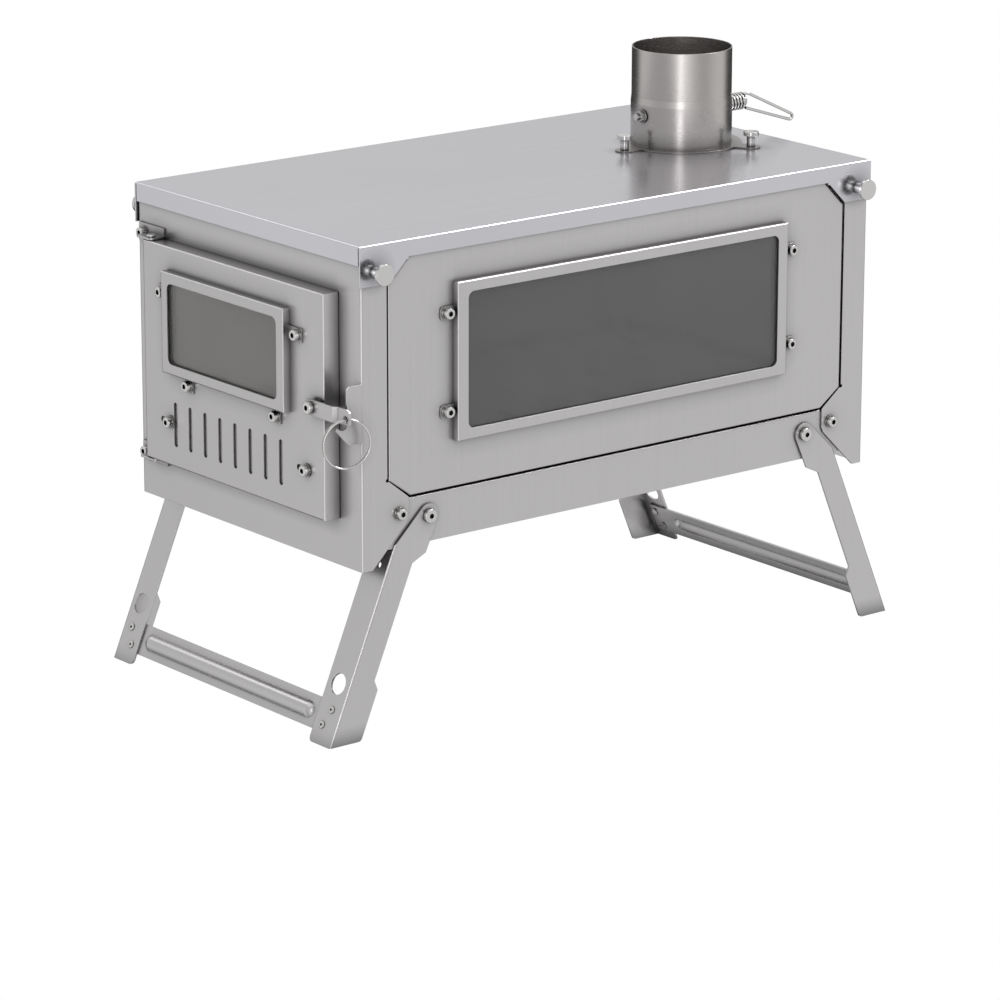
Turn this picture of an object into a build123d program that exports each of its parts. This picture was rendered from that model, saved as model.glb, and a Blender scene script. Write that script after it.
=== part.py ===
from build123d import *
import math
import os

# Folding camping wood stove. Millimetres, +Z up, the door faces -Y and +X is the windowed side.
# The model is drawn about the middle of the stove, with the ground at Z = 0.

# Cooktop: a shallow lid with folded sides
top_length = 380.0
top_width = 217.3
stove_height = 285.0
top_sheet = 1.0
top_fit = 0.25
top_bend = 1.2
end_flange = 11.3
side_flange = 10.0
ear_drop = 23.5
ear_length = 20.4
ear_slope = 13.5
corner_slit = 0.7
flue_hole_r = 28.0

# End panels: a sheet with two folded side strips and wide lower ears
end_sheet = 1.0
end_bend = 1.6
strip_width = 18.0
body_depth = 186.5
foot_ear_width = 33.0
foot_ear_top = 148.0
foot_ear_side = 11.5
foot_ear_chamfer = 11.8
ear_screw_depth = 156.6
ear_screw_inset = 6.6
relief_r = 1.1

# Side panels: trays that stand between the strips
panel_sheet = 0.8
panel_depth = 8.0
panel_gap = 1.2
panel_bend = 1.0
panel_top_gap = 1.2
panel_ear_gap = 1.2
panel_corner_drop = 0.5

# Floor pan with down-turned rails
floor_depth = 148.7
floor_sheet = 1.0
floor_bend = 1.6
rail_drop = 28.0
floor_end_gap = 0.8

# Side window
side_window_y = -1.0
side_window_depth = 74.6
side_frame_margin = 66.7
side_frame_height = 91.8
side_frame_rise = 4.6
side_border_y = 7.5
side_border_z = 6.4
frame_sheet = 0.8
frame_bend = 1.0
glass_thickness = 3.0
glass_gap = 0.4
window_corner_r = 4.0
side_screw_out = 4.9
side_screw_rise = 28.4
tab_width = 8.0
tab_reach = 5.2

# Door: a tray that stands on the front panel
door_side_gap = 20.0
door_height = 130.1
door_centre_depth = 94.2
door_depth = 11.0
door_sheet = 1.0
door_bend = 1.2
door_back_gap = 0.3
door_overlap = 8.0
door_window_x = -3.1
door_window_depth = 72.5
door_frame_width = 118.9
door_frame_height = 60.1
door_frame_rise = 5.1
door_border_x = 6.3
door_border_z = 6.2
door_screw_out = (4.25, 8.15)
door_upper_screw_depth = 56.2
door_lower_screws = (-38.4, 46.8)
door_screw_drop = 4.65
vent_count = 8
vent_pitch = 14.74
vent_centre_x = -5.0
vent_depth = 133.7
vent_height = 26.6
vent_width = 3.5

# Air slider behind the door's vents
slider_sheet = 0.8
slider_gap = 0.15
slider_height = 36.0
slider_travel = 7.37
slider_screws_x = (-61.8, 71.4)
slider_screw_depth = 132.9
slider_margin = 8.0

# Door hinge
hinge_inset = 3.2
hinge_back = 7.2
hinge_pin_r = 1.5
hinge_reach = 10.6
hinge_lug_edge = 4.2
hinge_head_r = 2.6
hinge_head = 1.4
hinge_sheet = 1.2
hinge_gap = 0.3
hinge_plate_height = 11.0
hinge_plate_half = 5.0
hinge_screw_rise = 65.7
hinge_screw_inset = 7.4
swing_relief = 1.6

# Latch, its keeper and the split ring
latch_inset = 7.3
latch_depth = 94.2
latch_height = 9.0
latch_sheet = 1.2
latch_stand = 2.6
latch_bend_inset = 7.7
latch_end_gap = 0.4
latch_end_out = 6.2
latch_hole_out = 2.6
latch_hole_r = 2.2
latch_hole_drop = 1.4
keeper_sheet = 1.2
keeper_inset = 0.2
keeper_reach = 9.6
keeper_hook_reach = 17.0
keeper_notch = 102.3
keeper_lip = 100.6
keeper_chamfer = 2.0
keeper_top = 78.0
keeper_bottom = 111.5
ring_r = 13.9
ring_wire_r = 0.5
ring_pitch = 1.45
ring_turn = 17.5

# Legs
pivot_inset = 46.95
pivot_depth = 161.2
leg_lean = 22.9
leg_sheet = 1.2
leg_gap = 0.12
leg_bend = 1.6
leg_line = 17.0
leg_inner = 0.9
leg_top_r = 6.8
leg_flange = 20.0
leg_flange_start = 24.0
leg_cut = 150.0
leg_notch_top = 98.0
leg_notch_low = 102.5
leg_tail = 3.4
leg_shoulder = 28.5
leg_hole_r = 6.2
leg_hole_along = 105.6
leg_small_hole_r = 1.7
leg_small_hole_in = 8.0
leg_small_hole_along = 34.8
foot_corner_r = 3.0
bar_start = 116.0
bar_height = 18.5
bar_overlap = 15.0
bead_r = 5.6
bead_sink = 2.4
bead_end_gap = 3.0
rivet_r = 1.6
rivet_head_r = 2.2
rivet_head = 0.8
rivet_dimple_r = 0.8
rivet_in = (8.6, 12.9)
rivet_drop = (4.6, 14.4)

# Flue collar and damper
collar_inset = 55.5
collar_height = 59.0
collar_r = 30.2
collar_step = 0.4
collar_step_rise = 30.0
collar_taper = 4.0
collar_wall = 0.6
collar_flange_r = 36.5
collar_flange = 0.8
collar_ear_r = 5.6
collar_screw_r = 44.5
collar_ears = (-90.0, 30.0, 150.0)
damper_rise = 19.5
damper_r = 28.6
damper_sheet = 0.8
damper_rivet_y = 12.0
damper_rivet_r = 1.05
shaft_r = 1.9
shaft_fit = 0.06
shoulder_r = 3.5
shaft_nose = 6.0
coil_wire_r = 0.9
coil_r = 4.45
coil_pitch = 2.35
coil_turns = 5
coil_start = 36.5
coil_bend = 2.6
handle_reach = 87.5
handle_drop = 14.5
loop_root_half = 4.4
loop_tip_half = 1.9

# Fasteners
screw_r = 1.5
screw_hole_fit = 0.12
head_r = 3.1
head_height = 3.0
socket_r = 1.65
socket_depth = 1.8
washer_r = 3.9
washer_height = 0.7
nut_r = 3.1
nut_height = 2.4
pivot_r = 2.0
pivot_fit = 0.06
pivot_head_r = 4.0
pivot_head = 2.6
thumb_r = 6.1
thumb_rim = 2.4
thumb_neck_r = 3.5
thumb_length = 9.7
thumb_stem = 7.0
corner_nut_r = 4.2
corner_nut_height = 4.0
thumb_stem_r = 1.9
thumb_fit = 0.06
thumb_inset = 10.5
thumb_depth = 15.6
small_thumb_r = 4.6
small_thumb_rim = 2.6
small_thumb_neck_r = 2.6
small_thumb_length = 9.0
small_thumb_stem = 6.0
collar_nut_r = 4.0
collar_nut_height = 3.5

# Grate over the floor
grate_sheet = 1.2
grate_rise = 8.0
grate_side_gap = 3.0
grate_end_gap = 14.0
grate_rows = 4
grate_columns = 10
grate_slot_width = 5.0
grate_slot_fill = 0.62

# Places that follow from the sizes above
thumb_y = top_length / 2 - thumb_inset
collar_y = top_length / 2 - collar_inset
side_frame_length = top_length - 2 * side_frame_margin
half_x = top_width / 2 - top_sheet - top_fit
half_y = top_length / 2 - top_sheet - top_fit
body_bottom = stove_height - body_depth
body_top = stove_height - top_sheet
rail_x = half_x - end_sheet
pivot_y = half_y - pivot_inset
door_width = 2 * (half_x - door_side_gap)
floor_z = stove_height - floor_depth
rail_bottom = floor_z - rail_drop
pivot_z = stove_height - pivot_depth
door_z = stove_height - door_centre_depth
door_front = -half_y - door_depth
latch_z = stove_height - latch_depth
slider_z = stove_height - slider_screw_depth
vent_z = stove_height - vent_depth
side_window_z = stove_height - side_window_depth
door_window_z = stove_height - door_window_depth
hinge_x = -door_width / 2 + hinge_inset
hinge_screw_x = -half_x + hinge_screw_inset
latch_x = door_width / 2 - latch_inset
latch_bend_x = half_x - latch_bend_inset
latch_end_x = half_x + latch_end_out
latch_hole_x = half_x + latch_hole_out
hinge_y = -half_y - hinge_back
hole_r = screw_r + screw_hole_fit


def block(x0, x1, y0, y1, z0, z1):
    """A box between two corners."""
    solid = Box(abs(x1 - x0), abs(y1 - y0), abs(z1 - z0))
    return Pos((x0 + x1) / 2, (y0 + y1) / 2, (z0 + z1) / 2) * solid


def rod(start, end, radius):
    """A round bar between two points."""
    a, b = Vector(*start), Vector(*end)
    plane = Plane(origin=a, z_dir=b - a)
    return extrude(plane * Circle(radius), (b - a).length)


def sheet_yz(points, x0, x1, radius=0):
    """A flat sheet drawn in the YZ plane, from x0 to x1, with rounded corners."""
    plane = Plane(origin=(x0, 0, 0), x_dir=(0, 1, 0), z_dir=(1, 0, 0))
    return extrude(plane * outline(points, radius), x1 - x0)


def sheet_xz(points, y0, y1, radius=0):
    """A flat sheet drawn in the XZ plane, from y0 to y1, with rounded corners."""
    plane = Plane(origin=(0, y0, 0), x_dir=(1, 0, 0), z_dir=(0, -1, 0))
    return extrude(plane * outline(points, radius), y0 - y1)


def outline(points, radius=0):
    """A closed face through points, with every corner rounded alike."""
    if radius:
        return make_face(FilletPolyline(*points, radius=radius, close=True))
    return make_face(Polyline(*points, close=True))


def edges_at(solid, axis, **near):
    """Edges along an axis whose middle lies at the given coordinates."""
    found = []
    for edge in solid.edges().filter_by(axis):
        middle = edge.center()
        if all(abs(getattr(middle, key) - value) < 0.01 for key, value in near.items()):
            found.append(edge)
    return found


def hollow(size, place, wall, bend, open_side):
    """A folded tray: a box with bends on its closed face, open on one side."""
    lx, ly, lz = size
    outer = Box(lx, ly, lz)
    axis, sign = open_side
    closed = outer.faces().sort_by(axis)[-1 if sign < 0 else 0]
    outer = fillet(closed.edges(), bend)
    depth = {Axis.X: 0, Axis.Y: 1, Axis.Z: 2}[axis]
    inner_size = [lx - 2 * wall, ly - 2 * wall, lz - 2 * wall]
    inner_size[depth] = size[depth]
    shift = [0.0, 0.0, 0.0]
    shift[depth] = sign * wall
    inner = Box(*inner_size)
    inner_closed = inner.faces().sort_by(axis)[-1 if sign < 0 else 0]
    inner = fillet(inner_closed.edges(), max(bend - wall, 0.2))
    return Pos(*place) * (outer - Pos(*shift) * inner)


def toward(point, direction):
    """A local frame at a point, with its Z along a direction."""
    return Plane(origin=point, z_dir=direction)


def cap_screw(point, direction, grip):
    """A socket-head screw with its washer, seated at a point on a face."""
    shank = extrude(Circle(screw_r), -grip)
    head = Pos(0, 0, washer_height) * extrude(Circle(head_r), head_height)
    head = fillet(head.edges().sort_by(Axis.Z)[-1], 0.5)
    socket = Pos(0, 0, washer_height + head_height - socket_depth)
    socket = socket * extrude(RegularPolygon(socket_r, 6), socket_depth + 1)
    neck = extrude(Circle(screw_r), washer_height)
    washer = extrude(Circle(washer_r) - Circle(hole_r), washer_height)
    frame = toward(point, direction)
    return [frame * (head + neck + shank - socket), frame * washer]


def hex_nut(point, direction):
    """A hex nut whose seat is at a point, standing along a direction."""
    body = extrude(RegularPolygon(nut_r, 6) - Circle(hole_r), nut_height)
    return toward(point, direction) * body


def thumb_screw(point, direction, radius, rim, neck, length, stem):
    """A knurled-head thumb screw with a narrow neck and a threaded stem."""
    head = Pos(0, 0, length - rim) * extrude(Circle(radius), rim)
    head = fillet(head.edges().filter_by(GeomType.CIRCLE), 0.35)
    collar = extrude(Circle(neck), length - rim)
    shank = extrude(Circle(thumb_stem_r), -stem)
    return toward(point, direction) * (head + collar + shank)


def biarc(start, end):
    """Two tangent arcs, or one line, between two points with directions."""
    (p0, t0), (p1, t1) = start, end
    chord = p1 - p0
    if chord.normalized().dot(t0) > 0.99999 and t0.dot(t1) > 0.99999:
        return [Line(p0, p1)]
    total = t0 + t1
    spread = 4 - total.dot(total)
    along = chord.dot(total)
    reach = (math.sqrt(along * along + spread * chord.dot(chord)) - along) / spread
    middle = (p0 + t0 * reach + p1 - t1 * reach) * 0.5
    turn = ((p1 - t1 * reach) - (p0 + t0 * reach)).normalized()
    return [TangentArc(p0, middle, tangent=t0), TangentArc(middle, p1, tangent=turn)]


def wire(stations, radius):
    """A round wire through stations, each a point and its direction."""
    edges = []
    for start, end in zip(stations, stations[1:]):
        edges += biarc(start, end)
    path = Wire(edges)
    point, direction = stations[0]
    return sweep(Plane(origin=point, z_dir=direction) * Circle(radius), path=path)


def helix_station(radius, pitch, angle):
    """A point and a direction on a helix about Z, at an angle in degrees."""
    turn = math.radians(angle)
    climb = pitch / (2 * math.pi)
    point = Vector(radius * math.cos(turn), radius * math.sin(turn), climb * turn)
    direction = Vector(-radius * math.sin(turn), radius * math.cos(turn), climb)
    return point, direction.normalized()


def least_gap(radius, pitch, wire_r, turns):
    """Least clear distance between neighbouring turns of a helix, on points."""
    step = 5
    points = [helix_station(radius, pitch, a)[0] for a in range(0, int(360 * turns) + 1, step)]
    apart = 180 // step
    gaps = []
    for i, a in enumerate(points):
        gaps += [(a - b).length for b in points[i + apart:]]
    return min(gaps) - 2 * wire_r


def cooktop():
    """The lid: a flat sheet with folded flanges, corner ears and a flue hole."""
    tray = hollow(
        (top_width, top_length, end_flange),
        (0, 0, stove_height - end_flange / 2),
        top_sheet,
        top_bend,
        (Axis.Z, -1),
    )
    outer = top_width / 2
    low = stove_height - end_flange
    flat = top_length / 2 - ear_length - ear_slope
    for side in (-1, 1):
        tray -= block(side * (outer - top_sheet - 0.1), side * (outer + 1), -flat, flat,
                      low - 1, stove_height - side_flange)
        for end in (-1, 1):
            tip = end * top_length / 2
            inner = tip - end * ear_length
            ear = [
                (tip, low + 1),
                (tip, stove_height - ear_drop),
                (inner, stove_height - ear_drop),
                (end * flat, stove_height - side_flange),
                (end * flat, low + 2),
            ]
            tray += sheet_yz(ear, side * outer - (top_sheet if side > 0 else 0),
                             side * outer + (top_sheet if side < 0 else 0))
            slit_x = side * (outer - top_sheet - corner_slit / 2)
            tray -= block(slit_x - corner_slit / 2, slit_x + corner_slit / 2,
                          tip + end, tip - end * (top_sheet + 0.5),
                          low - 1, stove_height - top_bend)
            tray -= thumb_hole(side, end)
    tray -= rod((0, collar_y, stove_height - 5), (0, collar_y, stove_height + 5), flue_hole_r)
    for x, y in collar_screw_places():
        tray -= rod((x, y, stove_height - 5), (x, y, stove_height + 5), thumb_stem_r + thumb_fit)
    return tray


def thumb_hole(side, end):
    """The clearance hole of one corner thumb screw."""
    y = end * thumb_y
    z = stove_height - thumb_depth
    return rod((side * (half_x - 5), y, z), (side * (half_x + 5), y, z), thumb_stem_r + thumb_fit)


def collar_screw_places():
    """The three screw places round the flue."""
    places = []
    for angle in collar_ears:
        turn = math.radians(angle)
        places.append((collar_screw_r * math.cos(turn), collar_y + collar_screw_r * math.sin(turn)))
    return places


def strip_profile():
    """Side view of the front end panel's strip with its lower ear."""
    return [
        (-half_y - 1, body_top),
        (-half_y + strip_width, body_top),
        (-half_y + strip_width, stove_height - foot_ear_top + foot_ear_chamfer),
        (-half_y + foot_ear_width, stove_height - foot_ear_top),
        (-half_y + foot_ear_width, stove_height - foot_ear_top - foot_ear_side),
        (-half_y + foot_ear_width - 1.4, stove_height - foot_ear_top - foot_ear_side - 3.1),
        (-half_y + 7.6, body_bottom),
        (-half_y - 1, body_bottom),
    ]


def end_panel():
    """An end panel in the front place: face, side strips and lower ears."""
    depth = foot_ear_width + 2
    height = body_top - body_bottom
    outer = block(-half_x, half_x, -half_y, -half_y + depth, body_bottom, body_top)
    for x in (-half_x, half_x):
        outer = fillet(edges_at(outer, Axis.Z, X=x, Y=-half_y), end_bend)
    inner_x = half_x - end_sheet
    inner = block(-inner_x, inner_x, -half_y + end_sheet, -half_y + depth + 1,
                  body_bottom - 1, body_top + 1)
    for x in (-inner_x, inner_x):
        inner = fillet(edges_at(inner, Axis.Z, X=x, Y=-half_y + end_sheet), end_bend - end_sheet)
    panel = outer - inner
    profile = sheet_yz(strip_profile(), -half_x - 1, half_x + 1, 0.8)
    panel = panel & profile
    relief_z = stove_height - foot_ear_top + foot_ear_chamfer
    panel -= rod((-half_x - 5, -half_y + strip_width, relief_z),
                 (half_x + 5, -half_y + strip_width, relief_z), relief_r)
    for side in (-1, 1):
        panel -= thumb_hole(side, -1)
        panel -= ear_screw_hole(side)
    return panel


def ear_screw_hole(side):
    """The hole of the screw that ties an ear to the rail."""
    z = stove_height - ear_screw_depth
    return rod((side * (half_x - 6), -ear_screw_y(), z), (side * (half_x + 6), -ear_screw_y(), z), hole_r)


def ear_screw_y():
    """Distance of the ear screws from the middle."""
    return half_y - foot_ear_width + ear_screw_inset


def door_opening():
    """The firebox mouth that the door covers."""
    x = door_width / 2 - door_overlap
    low = floor_z + 2
    high = door_z + door_height / 2 - door_overlap
    return block(-x, x, -half_y - 1, -half_y + end_sheet + 1, low, high)


def front_panel():
    """The front end panel with the firebox mouth and the hinge screw holes."""
    panel = end_panel() - door_opening()
    for z in hinge_screw_heights():
        panel -= rod((hinge_screw_x, -half_y - 5, z), (hinge_screw_x, -half_y + 5, z), hole_r)
    return panel + keeper()


def hinge_screw_heights():
    """Heights of the two hinge bracket screws."""
    return (door_z - hinge_screw_rise, door_z + hinge_screw_rise)


def keeper():
    """The hooked tab at the corner that holds the latch."""
    x1 = half_x - keeper_inset
    front = -half_y
    top = stove_height - keeper_top
    bottom = stove_height - keeper_bottom
    notch = stove_height - keeper_notch
    lip = stove_height - keeper_lip
    tab = [
        (front + 0.5, top),
        (front - keeper_reach + keeper_chamfer, top),
        (front - keeper_reach, top - keeper_chamfer),
        (front - keeper_reach, notch + 1.5),
        (front - keeper_reach - 1.5, notch),
        (front - keeper_reach - 4, notch),
        (front - keeper_hook_reach + 0.6, lip),
        (front - keeper_hook_reach, notch),
        (front - keeper_reach + 1, bottom),
        (front + 0.5, bottom),
    ]
    return sheet_yz(tab, x1 - keeper_sheet, x1)


def side_panel_outline():
    """Side view of a side panel, with clipped corners."""
    edge = half_y - strip_width - panel_gap
    low = floor_z + panel_gap
    high = body_top - panel_top_gap
    clip_top = stove_height - ear_drop - panel_ear_gap
    clip_low = stove_height - foot_ear_top + foot_ear_chamfer - panel_corner_drop
    low_y = half_y - foot_ear_width - panel_gap
    top_y = edge - (high - clip_top)
    points = []
    for sign, order in ((-1, 1), (1, -1)):
        corner = [
            (sign * top_y, high),
            (sign * edge, clip_top),
            (sign * edge, clip_low),
            (sign * low_y, low),
        ]
        points += corner[::order]
    return points


def side_panel(sign):
    """A side panel: a tray whose face is flush with the strips."""
    face = outline(side_panel_outline())
    x_out = half_x - 0.05
    plane = Plane(origin=(x_out - panel_depth, 0, 0), x_dir=(0, 1, 0), z_dir=(1, 0, 0))
    outer = extrude(plane * face, panel_depth)
    outer = fillet(outer.faces().sort_by(Axis.X)[-1].edges(), panel_bend)
    inner_face = offset(face, -panel_sheet)
    inner = extrude(plane * inner_face, panel_depth - panel_sheet)
    panel = outer - inner
    return panel if sign > 0 else mirror(panel, Plane.YZ)


def window_side_panel():
    """The near side panel with its window opening and screw holes."""
    panel = side_panel(1)
    ly = side_frame_length / 2 - side_border_y
    lz = side_frame_height / 2 - side_border_z
    hole = rounded_box_x(half_x - 5, half_x + 5, side_window_y, side_window_z, ly, lz, window_corner_r)
    panel -= hole
    for y, z in side_screw_places():
        panel -= rod((half_x - 5, y, z), (half_x + 5, y, z), hole_r)
    return panel


def rounded_box_x(x0, x1, y, z, ly, lz, radius):
    """A block along X with rounded long edges, about a centre."""
    plane = Plane(origin=(x0, y, z), x_dir=(0, 1, 0), z_dir=(1, 0, 0))
    return extrude(plane * RectangleRounded(2 * ly, 2 * lz, radius), x1 - x0)


def rounded_box_y(y0, y1, x, z, lx, lz, radius):
    """A block along Y with rounded long edges, about a centre."""
    plane = Plane(origin=(x, y0, z), x_dir=(1, 0, 0), z_dir=(0, -1, 0))
    return extrude(plane * RectangleRounded(2 * lx, 2 * lz, radius), y0 - y1)


def side_screw_places():
    """The four screws of the side window."""
    places = []
    reach = side_frame_length / 2 + side_screw_out
    for y in (-reach, reach):
        for z in (-side_screw_rise, side_screw_rise):
            places.append((side_window_y + y, side_window_z + z))
    return places


def side_frame():
    """The side window's raised frame with four screw tabs."""
    frame = hollow(
        (side_frame_rise, side_frame_length, side_frame_height),
        (half_x + side_frame_rise / 2, side_window_y, side_window_z),
        frame_sheet,
        frame_bend,
        (Axis.X, -1),
    )
    ly = side_frame_length / 2 - side_border_y
    lz = side_frame_height / 2 - side_border_z
    frame -= rounded_box_x(half_x, half_x + 9, side_window_y, side_window_z, ly, lz, window_corner_r)
    for y, z in side_screw_places():
        out = 1 if y > side_window_y else -1
        inner = side_window_y + out * (side_frame_length / 2 - 0.3)
        tip = y + out * (tab_reach - 0.6)
        tab = block(half_x, half_x + frame_sheet, inner, tip, z - tab_width / 2, z + tab_width / 2)
        tab = fillet(edges_at(tab, Axis.X, Y=tip), 2.4)
        frame += tab
        frame -= rod((half_x - 1, y, z), (half_x + 3, y, z), hole_r)
    return frame


def side_glass():
    """The pane inside the side window's frame."""
    ly = side_frame_length / 2 - frame_sheet - glass_gap
    lz = side_frame_height / 2 - frame_sheet - glass_gap
    return block(half_x + 0.05, half_x + 0.05 + glass_thickness, side_window_y - ly, side_window_y + ly,
                 side_window_z - lz, side_window_z + lz)


def floor_pan():
    """The firebox floor with its two rails."""
    length = half_y - end_sheet - floor_end_gap
    outer = block(-rail_x, rail_x, -length, length, rail_bottom, floor_z)
    for x in (-rail_x, rail_x):
        outer = fillet(edges_at(outer, Axis.Y, X=x, Z=floor_z), floor_bend)
    inner_x = rail_x - floor_sheet
    inner = block(-inner_x, inner_x, -length - 1, length + 1, rail_bottom - 1, floor_z - floor_sheet)
    for x in (-inner_x, inner_x):
        inner = fillet(edges_at(inner, Axis.Y, X=x, Z=floor_z - floor_sheet), floor_bend - floor_sheet)
    pan = outer - inner
    for side in (-1, 1):
        for end in (-1, 1):
            y = end * pivot_y
            pan -= rod((side * (rail_x - 5), y, pivot_z), (side * (rail_x + 5), y, pivot_z),
                       pivot_r + screw_hole_fit)
            hole = ear_screw_hole(side)
            pan -= hole if end < 0 else mirror(hole, Plane.XZ)
    return pan


def grate():
    """A slotted plate with folded feet that stands over the floor."""
    lx = half_x - panel_depth - grate_side_gap
    ly = half_y - end_sheet - grate_end_gap
    plate = hollow((2 * lx, 2 * ly, grate_rise), (0, 0, floor_z + grate_rise / 2),
                   grate_sheet, 1.6, (Axis.Z, -1))
    row = 2 * lx / grate_rows
    column = 2 * ly / grate_columns
    for i in range(grate_rows):
        for j in range(grate_columns):
            x = -lx + row * (i + 0.5)
            y = -ly + column * (j + 0.5)
            slot = SlotOverall(row * grate_slot_fill, grate_slot_width)
            cut = Plane(origin=(x, y, floor_z + grate_rise - 3)) * slot
            plate -= extrude(cut, 5)
    return plate


def door_skin():
    """The door's tray: window hole, vents, slider slots and screw holes."""
    depth = door_depth - door_back_gap
    skin = hollow(
        (door_width, depth, door_height),
        (0, door_front + depth / 2, door_z),
        door_sheet,
        door_bend,
        (Axis.Y, 1),
    )
    left = -door_width / 2
    skin -= block(left - 1, hinge_x + 3.5, -half_y - swing_relief - door_back_gap, -half_y + 1,
                  door_z - door_height, door_z + door_height)
    lx = door_frame_width / 2 - door_border_x
    lz = door_frame_height / 2 - door_border_z
    skin -= rounded_box_y(door_front - 1, door_front + 3, door_window_x, door_window_z, lx, lz,
                          window_corner_r)
    for x in vent_places():
        skin -= vent_slot(x, door_front - 1, door_front + 3)
    for x in slider_screws_x:
        skin -= guide_slot(x)
    for x, z in door_screw_places():
        skin -= rod((x, door_front - 1, z), (x, door_front + 3, z), hole_r)
    skin -= rod((latch_x, door_front - 1, latch_z), (latch_x, door_front + 3, latch_z), hole_r)
    half = door_height / 2
    skin -= rod((hinge_x, hinge_y, door_z - half - 1), (hinge_x, hinge_y, door_z + half + 1),
                hinge_pin_r + pivot_fit)
    return skin


def vent_places():
    """X of each vent."""
    first = vent_centre_x - vent_pitch * (vent_count - 1) / 2
    return [first + vent_pitch * i for i in range(vent_count)]


def vent_slot(x, y0, y1):
    """One upright slot through a sheet."""
    plane = Plane(origin=(x, y0, vent_z), x_dir=(0, 0, 1), z_dir=(0, 1, 0))
    return extrude(plane * SlotOverall(vent_height, vent_width), y1 - y0)


def guide_slot(x):
    """The short slot that a slider screw travels in."""
    width = 2 * (screw_r + 0.4)
    plane = Plane(origin=(x - slider_travel / 2, door_front - 1, slider_z), x_dir=(1, 0, 0),
                  z_dir=(0, 1, 0))
    return extrude(plane * SlotOverall(slider_travel + width + 0.6, width), 4)


def door_screw_places():
    """The four screws of the door window's frame."""
    high = stove_height - door_upper_screw_depth
    low = door_window_z - door_frame_height / 2 - door_screw_drop
    left = door_window_x - door_frame_width / 2 - door_screw_out[0]
    right = door_window_x + door_frame_width / 2 + door_screw_out[1]
    places = [(left, high), (right, high)]
    for x in door_lower_screws:
        places.append((door_window_x + x, low))
    return places


def door_frame():
    """The door window's raised frame with its screw tabs."""
    frame = hollow(
        (door_frame_width, door_frame_rise, door_frame_height),
        (door_window_x, door_front - door_frame_rise / 2, door_window_z),
        frame_sheet,
        frame_bend,
        (Axis.Y, 1),
    )
    lx = door_frame_width / 2 - door_border_x
    lz = door_frame_height / 2 - door_border_z
    frame -= rounded_box_y(door_front - 9, door_front, door_window_x, door_window_z, lx, lz,
                           window_corner_r)
    for x, z in door_screw_places():
        frame += door_tab(x, z)
        frame -= rod((x, door_front - 3, z), (x, door_front + 1, z), hole_r)
    return frame


def door_tab(x, z):
    """One screw tab, from the frame's edge out to the screw."""
    half = tab_width / 2
    low = door_window_z - door_frame_height / 2
    if z < low:
        return block(x - half, x + half, door_front - frame_sheet, door_front, z - half, low + 0.3)
    out = 1 if x > door_window_x else -1
    inner = door_window_x + out * (door_frame_width / 2 - 0.3)
    return block(inner, x + out * half, door_front - frame_sheet, door_front, z - half, z + half)


def door_glass():
    """The pane inside the door window's frame."""
    lx = door_frame_width / 2 - frame_sheet - glass_gap
    lz = door_frame_height / 2 - frame_sheet - glass_gap
    return block(door_window_x - lx, door_window_x + lx, door_front - 0.05 - glass_thickness,
                 door_front - 0.05, door_window_z - lz, door_window_z + lz)


def air_slider():
    """The slotted plate behind the vents, shut half a pitch to the right."""
    y0 = door_front + door_sheet + slider_gap
    left = slider_screws_x[0] - slider_margin
    right = slider_screws_x[1] + slider_margin
    plate = block(left, right, y0, y0 + slider_sheet, slider_z - slider_height / 2,
                  slider_z + slider_height / 2)
    for x in vent_places():
        plate -= vent_slot(x + slider_travel, y0 - 1, y0 + 3)
    for x in slider_screws_x:
        plate -= rod((x, y0 - 1, slider_z), (x, y0 + 3, slider_z), hole_r)
    return plate


def slider_screws():
    """The two guide screws that carry the slider, with their spacers and nuts."""
    parts = []
    back = door_front + door_sheet + slider_gap + slider_sheet
    for x in slider_screws_x:
        seat = (x, door_front - slider_gap, slider_z)
        parts += cap_screw(seat, (0, -1, 0), 5.0)
        parts.append(hex_nut((x, back, slider_z), (0, 1, 0)))
    return parts


def hinge_brackets():
    """Two folded brackets that carry the door's hinge pins."""
    parts = []
    right = hinge_x + hinge_lug_edge
    left = hinge_screw_x - hinge_plate_half
    front = -half_y - hinge_reach
    for sign, z in zip((-1, 1), hinge_screw_heights()):
        lug_z = door_z + sign * (door_height / 2 + hinge_gap)
        outer = z + sign * hinge_plate_height / 2
        inner = z - sign * hinge_plate_height / 2
        middle = hinge_screw_x + hinge_plate_half
        lug = block(middle, right, -half_y, front, lug_z, lug_z + sign * hinge_sheet)
        lug = fillet(edges_at(lug, Axis.Z, X=right, Y=front), 3.0)
        lug = fillet(edges_at(lug, Axis.Z, X=middle, Y=front), 2.0)
        back = -half_y - hinge_sheet
        web = block(middle - 0.5, right, -half_y, back, lug_z, outer)
        plate = block(left, middle, -half_y, back, inner, outer)
        bracket = lug + web + plate
        bracket -= rod((hinge_x, hinge_y, lug_z - 3), (hinge_x, hinge_y, lug_z + 3), hinge_pin_r + 0.02)
        bracket -= rod((hinge_screw_x, -half_y - 5, z), (hinge_screw_x, -half_y + 5, z), hole_r)
        parts.append(bracket)
    return parts


def hinge_pins():
    """The two headed pins that the door turns on."""
    parts = []
    half = door_height / 2 + hinge_gap + hinge_sheet
    for sign in (-1, 1):
        seat = (hinge_x, hinge_y, door_z + sign * half)
        head = extrude(Circle(hinge_head_r), hinge_head)
        head = fillet(head.edges().sort_by(Axis.Z)[-1], 0.6)
        stem = extrude(Circle(hinge_pin_r), -(hinge_sheet + hinge_gap + door_sheet + 1.6))
        parts.append(toward(seat, (0, 0, sign)) * (head + stem))
    return parts


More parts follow.
